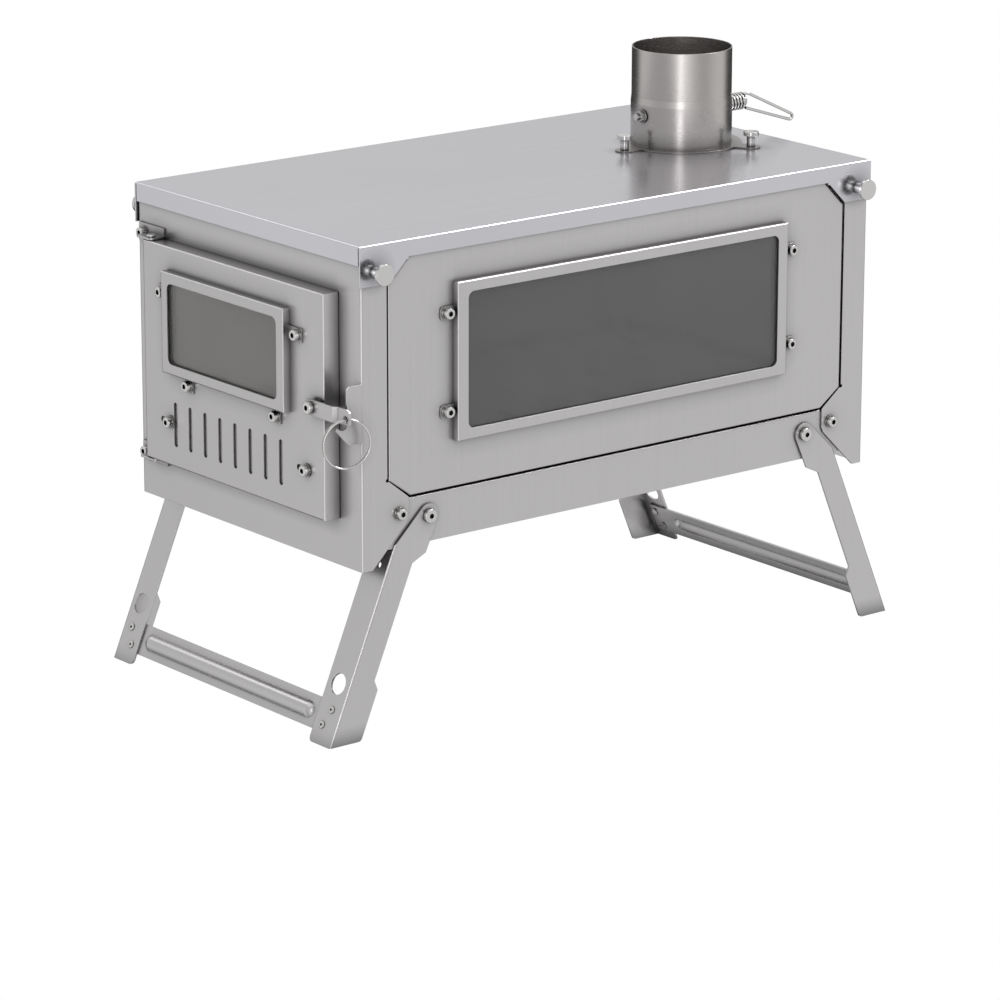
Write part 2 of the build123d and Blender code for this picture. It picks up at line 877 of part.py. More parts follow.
def hinge_screws():
    """The bracket screws with their nuts inside the panel."""
    parts = []
    for z in hinge_screw_heights():
        parts += cap_screw((hinge_screw_x, -half_y - hinge_sheet, z), (0, -1, 0), 5.5)
        parts.append(hex_nut((hinge_screw_x, -half_y + end_sheet, z), (0, 1, 0)))
    return parts


def latch_arm():
    """The latch: a strip that steps back to the keeper, with a ring hole."""
    y0 = door_front - latch_stand
    half = latch_height / 2
    step = latch_stand - latch_end_gap
    profile = [
        (latch_x - half, y0),
        (latch_bend_x, y0),
        (latch_bend_x + step, y0 + step),
        (latch_end_x, y0 + step),
        (latch_end_x, y0 + step - latch_sheet),
        (latch_bend_x + step + 0.5, y0 + step - latch_sheet),
        (latch_bend_x + 0.5, y0 - latch_sheet),
        (latch_x - half, y0 - latch_sheet),
    ]
    plane = Plane(origin=(0, 0, latch_z - half))
    arm = extrude(plane * outline(profile), latch_height)
    ends = sheet_xz(
        [
            (latch_x - half, latch_z - half),
            (latch_end_x, latch_z - half),
            (latch_end_x, latch_z + half - 1.5),
            (latch_end_x - 3.0, latch_z + half),
            (latch_x - half, latch_z + half),
        ],
        door_front - 9, door_front, 1.4,
    )
    arm = arm & ends
    arm -= rod((latch_x, y0 - 5, latch_z), (latch_x, y0 + 5, latch_z), pivot_r + pivot_fit)
    hole_z = latch_z - latch_hole_drop
    arm -= rod((latch_hole_x, y0 - 5, hole_z), (latch_hole_x, y0 + 5, hole_z), latch_hole_r)
    return arm


def latch_screw():
    """The shouldered latch screw with a spacer and its nut."""
    front = door_front - latch_stand - latch_sheet
    shoulder = extrude(Circle(pivot_r), -(latch_sheet + 0.2))
    spacer = Pos(0, 0, -(latch_sheet + 0.2)) * extrude(Circle(washer_r), -(latch_stand - 0.2))
    stem = Pos(0, 0, -latch_sheet - latch_stand) * extrude(Circle(screw_r), -4.4)
    head = Pos(0, 0, 0.15) * extrude(Circle(head_r + 0.4), head_height)
    head = fillet(head.edges().sort_by(Axis.Z)[-1], 0.5)
    neck = extrude(Circle(pivot_r), 0.15)
    socket = Pos(0, 0, head_height - socket_depth + 0.15) * extrude(RegularPolygon(socket_r, 6), 4)
    body = head + neck + shoulder + spacer + stem - socket
    nut = hex_nut((latch_x, door_front + door_sheet, latch_z), (0, 1, 0))
    return [toward((latch_x, front, latch_z), (0, -1, 0)) * body, nut]


def split_ring():
    """The two-turn split ring that hangs from the latch."""
    stations = [helix_station(ring_r, ring_pitch, a) for a in range(0, 721, 90)]
    ring = wire(stations, ring_wire_r)
    hole_y = door_front - latch_end_gap - latch_sheet / 2
    centre = (latch_hole_x, hole_y, latch_z - latch_hole_drop - ring_r)
    turned = Rot(0, 0, -ring_turn) * Rot(0, 90, 0) * Pos(0, 0, -ring_pitch) * ring
    return Pos(*centre) * turned


def leg_outline():
    """Side view of a front leg about its pivot, before it leans."""
    edge_start = (-leg_top_r * 0.918, leg_top_r * 0.396)
    return [
        (0, leg_top_r),
        edge_start,
        (-leg_line, -22.4),
        (-leg_line, -leg_cut),
        (leg_tail, -leg_cut),
        (leg_tail, -leg_notch_low),
        (-leg_inner, -leg_notch_top),
        (-leg_inner, -leg_shoulder),
        (6.2, -20.5),
        (leg_top_r, 0),
    ]


def leg(side):
    """A front leg: a side arm and a folded front flange."""
    x1 = rail_x + leg_gap + leg_sheet
    x0 = x1 - leg_sheet
    arm = sheet_yz(leg_outline(), x0, x1)
    arm += rod((x0, 0, 0), (x1, 0, 0), leg_top_r)
    flange = block(x1 - leg_flange, x1, -leg_line, -leg_line + leg_sheet, -leg_flange_start, -leg_cut)
    body = arm + flange
    body = fillet(edges_at(body, Axis.Z, X=x1, Y=-leg_line), leg_bend)
    body -= rod((x0 - 1, 0, 0), (x1 + 1, 0, 0), pivot_r + pivot_fit)
    hole_x = x1 - leg_flange / 2
    body -= rod((hole_x, -leg_line - 2, -leg_hole_along), (hole_x, 2 - leg_line, -leg_hole_along),
                leg_hole_r)
    small_x = x1 - leg_small_hole_in
    body -= rod((small_x, -leg_line - 2, -leg_small_hole_along),
                (small_x, 2 - leg_line, -leg_small_hole_along), leg_small_hole_r)
    for x, z in rivet_places():
        body -= rod((x, -leg_line - 2, z), (x, 2 - leg_line, z), rivet_r)
    body = lean(body) & block(0, x1 + 5, -top_length, 0, 0, stove_height)
    body = fillet(edges_at(body, Axis.Y, X=x1 - leg_flange, Z=0), foot_corner_r)
    heel = body.edges().filter_by(Axis.X).group_by(Axis.Z)[0].sort_by(Axis.Y)[-1]
    body = fillet(heel, foot_corner_r)
    return body if side > 0 else mirror(body, Plane.YZ)


def rivet_places():
    """The two rivets of a near leg, before it leans."""
    x1 = rail_x + leg_gap + leg_sheet
    return [(x1 - inset, -bar_start - drop) for inset, drop in zip(rivet_in, rivet_drop)]


def lean(shape):
    """Lean a front leg piece about its pivot and put it in place."""
    return Pos(0, -pivot_y, pivot_z) * Rot(-leg_lean, 0, 0) * shape


def foot_bar():
    """The cross bar between two feet, with a raised bead."""
    x1 = rail_x + leg_gap + leg_sheet - leg_flange + bar_overlap
    y0 = -leg_line + leg_sheet
    bar = block(-x1, x1, y0, y0 + leg_sheet, -bar_start, -bar_start - bar_height)
    reach = rail_x - leg_flange - bead_end_gap - bead_r
    mid = -bar_start - bar_height / 2
    centre_y = y0 + bead_sink
    front_half = block(-x1, x1, y0 - bead_r, y0 + 0.5, mid - bead_r, mid + bead_r)
    bead = capsule(reach, centre_y, mid, bead_r) & front_half
    bar = bar + bead - capsule(reach, centre_y, mid, bead_r - leg_sheet)
    for x, z in rivet_places():
        for sign in (-1, 1):
            bar -= rod((sign * x, y0 - 1, z), (sign * x, y0 + 3, z), rivet_r)
    return lean(bar)


def capsule(reach, y, z, radius):
    """A round bar along X with round ends."""
    bar = rod((-reach, y, z), (reach, y, z), radius)
    return bar + Pos(-reach, y, z) * Sphere(radius) + Pos(reach, y, z) * Sphere(radius)


def leg_rivets():
    """Round-head rivets that join the bar to both legs."""
    parts = []
    grip = 2 * leg_sheet
    for x, z in rivet_places():
        for sign in (-1, 1):
            stem = rod((sign * x, -leg_line, z), (sign * x, -leg_line + grip, z), rivet_r)
            front = rod((sign * x, -leg_line - rivet_head, z), (sign * x, -leg_line, z), rivet_head_r)
            front = fillet(front.edges().filter_by(GeomType.CIRCLE).sort_by(Axis.Y)[0], 0.6)
            back = rod((sign * x, -leg_line + grip, z), (sign * x, -leg_line + grip + rivet_head, z),
                       rivet_head_r)
            dimple = rod((sign * x, -leg_line - rivet_head - 1, z), (sign * x, -leg_line, z), rivet_dimple_r)
            parts.append(lean(front + stem + back - dimple))
    return parts


def leg_pivots():
    """The four shouldered pivot screws with their nuts inside the rails."""
    parts = []
    shoulder = leg_gap + leg_sheet + 0.15
    for side in (-1, 1):
        for end in (-1, 1):
            seat = (side * rail_x, end * pivot_y, pivot_z)
            head = Pos(0, 0, shoulder) * extrude(Circle(pivot_head_r), pivot_head)
            head = fillet(head.edges().sort_by(Axis.Z)[-1], 0.6)
            stem = Pos(0, 0, -5.0) * extrude(Circle(pivot_r), shoulder + 5.0)
            socket = Pos(0, 0, shoulder + pivot_head - socket_depth)
            socket = socket * extrude(RegularPolygon(socket_r, 6), socket_depth + 1)
            parts.append(toward(seat, (side, 0, 0)) * (head + stem - socket))
            nut = extrude(RegularPolygon(nut_r + 0.9, 6) - Circle(pivot_r + 0.1), nut_height)
            inside = (side * (rail_x - floor_sheet), end * pivot_y, pivot_z)
            parts.append(toward(inside, (-side, 0, 0)) * nut)
    return parts


def ear_screws():
    """The four screws that tie the end panels to the rails, with nuts."""
    parts = []
    z = stove_height - ear_screw_depth
    for side in (-1, 1):
        for end in (-1, 1):
            y = end * ear_screw_y()
            parts += cap_screw((side * half_x, y, z), (side, 0, 0), 5.5)
            parts.append(hex_nut((side * (rail_x - floor_sheet), y, z), (-side, 0, 0)))
    return parts


def side_window_screws():
    """The side window's screws with nuts behind the panel."""
    parts = []
    for y, z in side_screw_places():
        parts += cap_screw((half_x + frame_sheet, y, z), (1, 0, 0), 5.0)
        parts.append(hex_nut((half_x - 0.05 - panel_sheet, y, z), (-1, 0, 0)))
    return parts


def door_window_screws():
    """The door window's screws with nuts behind the door."""
    parts = []
    for x, z in door_screw_places():
        parts += cap_screw((x, door_front - frame_sheet, z), (0, -1, 0), 5.0)
        parts.append(hex_nut((x, door_front + door_sheet, z), (0, 1, 0)))
    return parts


def corner_nuts():
    """Fixed nuts inside the strips that take the corner thumb screws."""
    parts = []
    z = stove_height - thumb_depth
    for side in (-1, 1):
        for end in (-1, 1):
            seat = (side * (half_x - end_sheet), end * thumb_y, z)
            body = extrude(Circle(corner_nut_r) - Circle(thumb_stem_r + thumb_fit), corner_nut_height)
            parts.append(toward(seat, (-side, 0, 0)) * body)
    return parts


def corner_thumb(side, end):
    """One corner thumb screw."""
    seat = (side * (top_width / 2 + 0.1), end * thumb_y, stove_height - thumb_depth)
    return thumb_screw(seat, (side, 0, 0), thumb_r, thumb_rim, thumb_neck_r, thumb_length, thumb_stem)


def collar_thumb(x, y):
    """One thumb screw of the flue collar."""
    seat = (x, y, stove_height + collar_flange + 0.1)
    return thumb_screw(seat, (0, 0, 1), small_thumb_r, small_thumb_rim, small_thumb_neck_r,
                       small_thumb_length, small_thumb_stem)


def collar_nuts():
    """Fixed nuts under the cooktop that take the collar's thumb screws."""
    body = extrude(Circle(collar_nut_r) - Circle(thumb_stem_r + thumb_fit), -collar_nut_height)
    return [Pos(x, y, stove_height - top_sheet) * body for x, y in collar_screw_places()]


def flue_collar():
    """The flue collar: a stepped tube on a flange with three ears."""
    flange = Circle(collar_flange_r)
    for angle in collar_ears:
        turn = Rot(0, 0, angle)
        flange += turn * Pos(collar_screw_r, 0) * Circle(collar_ear_r)
        flange += turn * Pos(collar_screw_r / 2, 0) * Rectangle(collar_screw_r, 2 * collar_ear_r)
    inner = collar_r + collar_step - collar_wall
    body = extrude(flange, collar_flange)
    straight = collar_step_rise - collar_taper
    body += extrude(Circle(collar_r + collar_step), straight)
    taper = Cone(collar_r + collar_step, collar_r, collar_taper)
    body += Pos(0, 0, straight + collar_taper / 2) * taper
    body += extrude(Circle(collar_r), collar_height)
    body -= Pos(0, 0, -1) * extrude(Circle(inner), straight + 1)
    body -= Pos(0, 0, -1) * extrude(Circle(collar_r - collar_wall), collar_height + 2)
    body -= rod((0, -collar_flange_r, damper_rise), (0, collar_flange_r, damper_rise), shaft_r + shaft_fit)
    body = Pos(0, collar_y, stove_height) * body
    for x, y in collar_screw_places():
        body -= rod((x, y, stove_height - 5), (x, y, stove_height + 5), thumb_stem_r + thumb_fit)
    return body


def damper_disc():
    """The damper plate, flat across the flue when shut."""
    disc = Circle(damper_r)
    plate = Pos(0, collar_y, stove_height + damper_rise + shaft_r) * extrude(disc, damper_sheet)
    for y in (-damper_rivet_y, damper_rivet_y):
        plate -= rod((0, collar_y + y, stove_height + damper_rise),
                     (0, collar_y + y, stove_height + damper_rise + 9), damper_rivet_r)
    return plate


def damper_rivets():
    """Two rivets that hold the damper plate on its shaft."""
    parts = []
    seat = stove_height + damper_rise + shaft_r
    for y in (-damper_rivet_y, damper_rivet_y):
        stem = Pos(0, 0, -1.2) * extrude(Circle(damper_rivet_r), damper_sheet + 1.2)
        head = Pos(0, 0, damper_sheet) * extrude(Circle(2.2), 0.9)
        head = fillet(head.edges().sort_by(Axis.Z)[-1], 0.5)
        parts.append(Pos(0, collar_y + y, seat) * (stem + head))
    return parts


def damper_shaft():
    """The damper's cross shaft, flattened under the plate."""
    z = stove_height + damper_rise
    near = collar_r + collar_step + 0.4
    far = coil_start + coil_pitch * coil_turns + coil_wire_r + 0.8
    shaft = rod((0, collar_y - collar_r - shaft_nose, z), (0, collar_y + near + 0.1, z), shaft_r)
    shaft += rod((0, collar_y + near, z), (0, collar_y + far, z), shoulder_r)
    for y in (-damper_rivet_y, damper_rivet_y):
        shaft -= rod((0, collar_y + y, z + 0.6), (0, collar_y + y, z + 9), damper_rivet_r)
    return shaft


def damper_nut():
    """The lock nut on the shaft's front end, with its washer."""
    y = collar_y - collar_r - collar_step
    z = stove_height + damper_rise
    nut = extrude(RegularPolygon(3.6, 6) - Circle(shaft_r + 0.02), 2.8)
    washer = extrude(Circle(4.2) - Circle(shaft_r + 0.02), 0.6)
    return [
        toward((0, y - 0.25, z), (0, -1, 0)) * washer,
        toward((0, y - 0.85, z), (0, -1, 0)) * nut,
    ]


def loop_ends():
    """The handle loop's root and tip on its middle line."""
    z = stove_height + damper_rise
    root_y = collar_y + coil_start + coil_pitch * coil_turns + coil_bend
    root = Vector(coil_bend, root_y, z)
    tip = Vector(coil_bend, collar_y + handle_reach, z - handle_drop)
    return root, tip


def damper_handle():
    """The wire handle: a coil round the shaft that opens into a long upright loop."""
    base = Vector(0, collar_y + coil_start, stove_height + damper_rise)
    stations = []
    for quarter in range(4 * coil_turns + 1):
        point, direction = helix_station(coil_r, coil_pitch, 90 * quarter)
        place = Vector(point.Y, point.Z, point.X)
        stations.append((base + place, Vector(direction.Y, direction.Z, direction.X)))
    root, tip = loop_ends()
    run = (tip - root).normalized()
    across = Vector(0, -run.Z, run.Y)
    upper = (root + across * loop_root_half, tip - run * loop_tip_half + across * loop_tip_half)
    lower = (tip - run * loop_tip_half - across * loop_tip_half, root - across * loop_root_half)
    out = (upper[1] - upper[0]).normalized()
    back = (lower[1] - lower[0]).normalized()
    stations += [(upper[0], out), (upper[1], out), (tip, across * -1), (lower[0], back), (lower[1], back)]
    return wire(stations, coil_wire_r)


def rear_of(shape):
    """The same piece at the rear end."""
    return Rot(0, 0, 180) * shape


def build_parts():
    """Every named piece, as lists of solids, about the middle of the stove."""
    parts = {
        "cooktop": cooktop(),
        "front_panel": front_panel(),
        "rear_panel": rear_of(end_panel()),
        "window_side_panel": window_side_panel(),
        "plain_side_panel": side_panel(-1),
        "floor_pan": floor_pan(),
        "fire_grate": grate(),
        "side_window_frame": side_frame(),
        "side_window_glass": side_glass(),
        "side_window_screws": side_window_screws(),
        "ear_screws": ear_screws(),
        "leg_pivot_screws": leg_pivots(),
        "corner_nuts": corner_nuts(),
        "door_skin": door_skin(),
        "door_window_frame": door_frame(),
        "door_window_glass": door_glass(),
        "door_window_screws": door_window_screws(),
        "air_slider": air_slider(),
        "air_slider_screws": slider_screws(),
        "hinge_brackets": hinge_brackets(),
        "hinge_pins": hinge_pins(),
        "hinge_bracket_screws": hinge_screws(),
        "latch_arm": latch_arm(),
        "latch_screw": latch_screw(),
        "split_ring": split_ring(),
        "flue_collar": flue_collar(),
        "collar_nuts": collar_nuts(),
        "damper_plate": damper_disc(),
        "damper_rivets": damper_rivets(),
        "damper_shaft": damper_shaft(),
        "damper_nut": damper_nut(),
        "damper_handle": damper_handle(),
        "front_leg_window_side": leg(1),
        "front_leg_plain_side": leg(-1),
        "front_foot_bar": foot_bar(),
        "front_leg_rivets": leg_rivets(),
        "rear_leg_window_side": rear_of(leg(-1)),
        "rear_leg_plain_side": rear_of(leg(1)),
        "rear_foot_bar": rear_of(foot_bar()),
        "rear_leg_rivets": [rear_of(p) for p in leg_rivets()],
    }
    for side, side_name in ((1, "window_side"), (-1, "plain_side")):
        for end, end_name in ((-1, "front"), (1, "rear")):
            parts[f"thumb_screw_{end_name}_{side_name}"] = corner_thumb(side, end)
    for name, (x, y) in zip(("front", "right", "left"), collar_screw_places()):
        parts[f"collar_screw_{name}"] = collar_thumb(x, y)
    return parts


def solids_of(piece):
    """The solids of a piece, whichever way it was made."""
    pieces = piece if isinstance(piece, list) else [piece]
    found = []
    for item in pieces:
        found += item.solids()
    return found


def centre_offset(parts):
    """The move that centres the whole stove over the origin."""
    box = Compound(children=[s for piece in parts.values() for s in solids_of(piece)]).bounding_box()
    return Vector(-(box.min.X + box.max.X) / 2, -(box.min.Y + box.max.Y) / 2, -box.min.Z)


def main():
    os.makedirs("parts", exist_ok=True)
    parts = build_parts()
    shift = centre_offset(parts)
    print("origin shift", round(shift.X, 3), round(shift.Y, 3), round(shift.Z, 3))
    print("split ring gap", round(least_gap(ring_r, ring_pitch, ring_wire_r, 2), 3))
    print("damper coil gap", round(least_gap(coil_r, coil_pitch, coil_wire_r, coil_turns), 3))
    for name, piece in parts.items():
        solids = [Pos(*shift) * s for s in solids_of(piece)]
        export_step(solids[0] if len(solids) == 1 else Compound(children=solids), f"parts/{name}.step")


if __name__ == "__main__":
    main()
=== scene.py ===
import bpy
from mathutils import Matrix, Vector


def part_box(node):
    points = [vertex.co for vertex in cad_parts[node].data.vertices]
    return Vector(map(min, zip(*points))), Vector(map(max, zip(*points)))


# Looks of a folding camping wood stove: titanium sheet, steel hardware and dark glass.
# Metres, +Z up, the door faces -Y and the windowed side faces +X.

# Camera: place and axes about the middle of the cooktop's upper face
CAMERA_FROM_TOP = (2.143909, -1.716468, 0.580370)
CAMERA_RIGHT = (0.62348995, 0.78182892, 0.00195578)
CAMERA_UP = (-0.21521007, 0.16921893, 0.96179498)
CAMERA_BACK = (0.75162817, -0.60009041, 0.27376375)
CAMERA_LENS = 171.676
CAMERA_SENSOR = 36.0
CAMERA_NEAR = 0.1
CAMERA_FAR = 50.0

# Colours, linear
TITANIUM = (0.61, 0.598, 0.60)
TOP_TITANIUM = (0.665, 0.655, 0.695)
COLLAR_TITANIUM = (0.51, 0.488, 0.475)
STEEL = (0.66, 0.655, 0.645)
GRATE = (0.36, 0.35, 0.34)
SIDE_GLASS = (0.60, 0.60, 0.60)
DOOR_GLASS = (0.86, 0.845, 0.82)
FLOOR = (0.45, 0.45, 0.45)
WHITE = (1.0, 1.0, 1.0)

# Grain: noise cells to the metre along X, Y and Z, so streaks run along the axis with the fewest
SHEET_GRAIN = (420.0, 420.0, 5.0)
TOP_GRAIN = (420.0, 5.0, 420.0)
COLLAR_GRAIN = (60.0, 60.0, 500.0)
GRATE_GRAIN = (300.0, 5.0, 300.0)
STEEL_GRAIN = (900.0, 900.0, 900.0)
CLOUD_GRAIN = (9.0, 9.0, 5.0)
FILM_GRAIN = (30.0, 30.0, 22.0)
GRAIN_BREAKUP = 0.62
NOISE_MIDDLE = (0.3, 0.7)

# Roughness: the least and the most
SHEET_ROUGH = (0.29, 0.35)
TOP_ROUGH = (0.20, 0.24)
COLLAR_ROUGH = (0.25, 0.28)
STEEL_ROUGH = (0.072, 0.117)
GLASS_ROUGH = (0.10, 0.20)

# Metal: softened edges, relief of the grain, and how far and how strongly painted shade darkens it near
# close surfaces
SHEET_EDGE = 0.00035
STEEL_EDGE = 0.0003
GRAIN_RELIEF = 0.0005
CLOUD_DEPTH = 0.012
# Painted shade: reach and depth of the darkening near close surfaces
SHEET_PAINTED_SHADE = (0.012, 1.2)
STEEL_PAINTED_SHADE = (0.003, 2.2)

# Glass
GLASS_CLEARNESS = 0.9
GLASS_IOR = 1.47

# Floor: its width and how far its top lies below the feet
FLOOR_WIDTH = 40.0
FLOOR_DROP = 0.0005

# Light: a ring round the stove, by place from the far side (0) round to the viewer's side (1),
# and the sky above it, by height from the horizon (0) to straight up (1)
FLOOR_SEEN_LEVEL = 1.0
VIEWER_SIDE = (0.78, -0.62, 0.0)
RING_LEVELS = ((0.0, 0.06), (0.20, 0.10), (0.36, 0.82), (0.60, 0.78), (0.84, 0.58), (1.0, 1.6))
SKY_LEVELS = ((0.0, 0.70), (0.30, 0.74), (0.55, 0.60), (0.80, 1.0), (1.0, 1.3))
RING_TOP = 0.20

TOP_NODES = ("cooktop",)
COLLAR_NODES = ("flue_collar", "damper_plate")
GRATE_NODES = ("fire_grate",)
GLASS_NODES = {"side_window_glass": SIDE_GLASS, "door_window_glass": DOOR_GLASS}
STEEL_WORDS = ("screw", "nut", "rivets", "pins", "ring", "shaft", "handle")


def new_material(name):
    """An empty node material with its output."""
    material = bpy.data.materials.new(name)
    material.use_nodes = True
    tree = material.node_tree
    tree.nodes.clear()
    output = tree.nodes.new("ShaderNodeOutputMaterial")
    return material, tree, output


def add(tree, kind, **values):
    """A shader node with values set on its own inputs or properties."""
    node = tree.nodes.new(kind)
    for key, value in values.items():
        if key in node.inputs:
            node.inputs[key].default_value = value
        else:
            setattr(node, key, value)
    return node


def rgba(colour):
    """A colour with full opacity."""
    return (colour[0], colour[1], colour[2], 1.0)


def streaks(tree, scale, detail=4.0):
    """Noise drawn out along one axis, in the part's own coordinates."""
    place = add(tree, "ShaderNodeTexCoord")
    mapping = add(tree, "ShaderNodeMapping")
    mapping.inputs["Scale"].default_value = scale
    noise = add(tree, "ShaderNodeTexNoise")
    noise.inputs["Scale"].default_value = 1.0
    noise.inputs["Detail"].default_value = detail
    noise.inputs["Roughness"].default_value = GRAIN_BREAKUP
    tree.links.new(place.outputs["Object"], mapping.inputs["Vector"])
    tree.links.new(mapping.outputs["Vector"], noise.inputs["Vector"])
    return noise.outputs["Fac"]


def spread(tree, source, low, high):
    """A value stretched from the noise's middle range to low and high."""
    node = add(tree, "ShaderNodeMapRange")
    node.inputs["From Min"].default_value = NOISE_MIDDLE[0]
    node.inputs["From Max"].default_value = NOISE_MIDDLE[1]
    node.inputs["To Min"].default_value = low
    node.inputs["To Max"].default_value = high
    tree.links.new(source, node.inputs["Value"])
    return node.outputs["Result"]


def with_painted_shade(tree, colour, shade):
    """The colour with painted shade where other surfaces stand close, by a reach and a depth."""
    reach, depth = shade
    # Painted shade: the base colour darkens where other surfaces stand close.
    near = add(tree, "ShaderNodeAmbientOcclusion", samples=8)
    near.inputs["Distance"].default_value = reach
    share = add(tree, "ShaderNodeMath", operation="POWER")
    share.inputs[1].default_value = depth
    dark = add(tree, "ShaderNodeVectorMath", operation="SCALE")
    tree.links.new(near.outputs["AO"], share.inputs[0])
    tree.links.new(colour, dark.inputs[0])
    tree.links.new(share.outputs[0], dark.inputs["Scale"])
    return dark.outputs[0]


def softened(tree, radius):
    """The surface's direction with its edges rounded a little."""
    bevel = add(tree, "ShaderNodeBevel", samples=4)
    bevel.inputs["Radius"].default_value = radius
    return bevel.outputs["Normal"]


def brushed(name, colour, grain, rough=SHEET_ROUGH, contrast=0.02, bump=0.004):
    """Satin brushed metal with fine grain along one axis, faint broad clouds and painted shade where other
    surfaces stand close.
    """
    material, tree, output = new_material(name)
    shader = add(tree, "ShaderNodeBsdfPrincipled")
    shader.inputs["Metallic"].default_value = 1.0
    fine = streaks(tree, grain)
    broad = streaks(tree, CLOUD_GRAIN, 2.0)
    tone = add(tree, "ShaderNodeMath", operation="ADD")
    tree.links.new(spread(tree, fine, 1.0 - contrast, 1.0 + contrast), tone.inputs[0])
    tree.links.new(spread(tree, broad, -CLOUD_DEPTH, CLOUD_DEPTH), tone.inputs[1])
    base = add(tree, "ShaderNodeVectorMath", operation="SCALE")
    base.inputs[0].default_value = colour
    tree.links.new(tone.outputs[0], base.inputs["Scale"])
    # The base colour carries painted shade near close surfaces.
    tree.links.new(with_painted_shade(tree, base.outputs[0], SHEET_PAINTED_SHADE), shader.inputs["Base Color"])
    tree.links.new(spread(tree, fine, rough[0], rough[1]), shader.inputs["Roughness"])
    relief = add(tree, "ShaderNodeBump")
    relief.inputs["Strength"].default_value = bump
    relief.inputs["Distance"].default_value = GRAIN_RELIEF
    tree.links.new(fine, relief.inputs["Height"])
    tree.links.new(softened(tree, SHEET_EDGE), relief.inputs["Normal"])
    tree.links.new(relief.outputs["Normal"], shader.inputs["Normal"])
    tree.links.new(shader.outputs["BSDF"], output.inputs["Surface"])
    return material


def polished(name, colour, rough):
    """Turned or drawn steel with slightly softened edges and painted shade where other surfaces stand
    close.
    """
    material, tree, output = new_material(name)
    shader = add(tree, "ShaderNodeBsdfPrincipled")
    shader.inputs["Metallic"].default_value = 1.0
    plain = add(tree, "ShaderNodeCombineXYZ")
    for axis, share in zip("XYZ", colour):
        plain.inputs[axis].default_value = share
    # The base colour carries painted shade near close surfaces.
    tree.links.new(with_painted_shade(tree, plain.outputs[0], STEEL_PAINTED_SHADE), shader.inputs["Base Color"])
    grain = streaks(tree, STEEL_GRAIN, 2.0)
    tree.links.new(spread(tree, grain, rough[0], rough[1]), shader.inputs["Roughness"])
    tree.links.new(softened(tree, STEEL_EDGE), shader.inputs["Normal"])
    tree.links.new(shader.outputs["BSDF"], output.inputs["Surface"])
    return material


def glazed(name, colour):
    """A clear pane with a tint and a faint film."""
    material, tree, output = new_material(name)
    shader = add(tree, "ShaderNodeBsdfPrincipled")
    shader.inputs["Base Color"].default_value = rgba(colour)
    shader.inputs["Transmission Weight"].default_value = GLASS_CLEARNESS
    shader.inputs["IOR"].default_value = GLASS_IOR
    film = streaks(tree, FILM_GRAIN, 3.0)
    tree.links.new(spread(tree, film, GLASS_ROUGH[0], GLASS_ROUGH[1]), shader.inputs["Roughness"])
    tree.links.new(shader.outputs["BSDF"], output.inputs["Surface"])
    return material


def set_material(thing, material):
    """One material on every slot of an object."""
    if not thing.material_slots:
        thing.data.materials.append(material)
    for slot in thing.material_slots:
        slot.material = material


def paint_nodes(nodes):
    """The finish of every CAD node."""
    sheet = brushed("titanium", TITANIUM, SHEET_GRAIN)
    top = brushed("titanium_top", TOP_TITANIUM, TOP_GRAIN, TOP_ROUGH, contrast=0.008, bump=0.001)
    collar = brushed("titanium_collar", COLLAR_TITANIUM, COLLAR_GRAIN, COLLAR_ROUGH,
                     contrast=0.006, bump=0.001)
    grate = brushed("grate_metal", GRATE, GRATE_GRAIN)
    steel = polished("steel", STEEL, STEEL_ROUGH)
    for name, thing in nodes.items():
        if name in GLASS_NODES:
            set_material(thing, glazed(name + "_finish", GLASS_NODES[name]))
        elif name in TOP_NODES:
            set_material(thing, top)
        elif name in COLLAR_NODES:
            set_material(thing, collar)
        elif name in GRATE_NODES:
            set_material(thing, grate)
        elif any(word in name for word in STEEL_WORDS):
            set_material(thing, steel)
        else:
            set_material(thing, sheet)


def make_camera():
    """The photo's camera, placed from the cooktop's upper face."""
    low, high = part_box("cooktop")
    middle = Vector(((low.x + high.x) / 2, (low.y + high.y) / 2, high.z))
    data = bpy.data.cameras.new("camera")
    data.sensor_width = CAMERA_SENSOR
    data.lens = CAMERA_LENS
    data.clip_start = CAMERA_NEAR
    data.clip_end = CAMERA_FAR
    camera = bpy.data.objects.new("camera", data)
    axes = Matrix((CAMERA_RIGHT, CAMERA_UP, CAMERA_BACK)).transposed().to_4x4()
    camera.matrix_world = Matrix.Translation(middle + Vector(CAMERA_FROM_TOP)) @ axes
    bpy.context.scene.collection.objects.link(camera)
    bpy.context.scene.camera = camera


def make_floor():
    """A pale floor that the camera sees as white and that the metal doesn't mirror."""
    bpy.ops.mesh.primitive_plane_add(size=FLOOR_WIDTH, location=(0.0, 0.0, -FLOOR_DROP))
    floor = bpy.context.object
    floor.name = "floor"
    material, tree, output = new_material("floor_finish")
    matt = add(tree, "ShaderNodeBsdfDiffuse")
    matt.inputs["Color"].default_value = rgba(FLOOR)
    seen = add(tree, "ShaderNodeEmission")
    seen.inputs["Color"].default_value = rgba(WHITE)
    seen.inputs["Strength"].default_value = FLOOR_SEEN_LEVEL
    rays = add(tree, "ShaderNodeLightPath")
    clear = add(tree, "ShaderNodeBsdfTransparent")
    mirrored = add(tree, "ShaderNodeMixShader")
    tree.links.new(rays.outputs["Is Glossy Ray"], mirrored.inputs[0])
    tree.links.new(matt.outputs["BSDF"], mirrored.inputs[1])
    tree.links.new(clear.outputs["BSDF"], mirrored.inputs[2])
    mix = add(tree, "ShaderNodeMixShader")
    tree.links.new(rays.outputs["Is Camera Ray"], mix.inputs[0])
    tree.links.new(mirrored.outputs["Shader"], mix.inputs[1])
    tree.links.new(seen.outputs["Emission"], mix.inputs[2])
    tree.links.new(mix.outputs["Shader"], output.inputs["Surface"])
    set_material(floor, material)


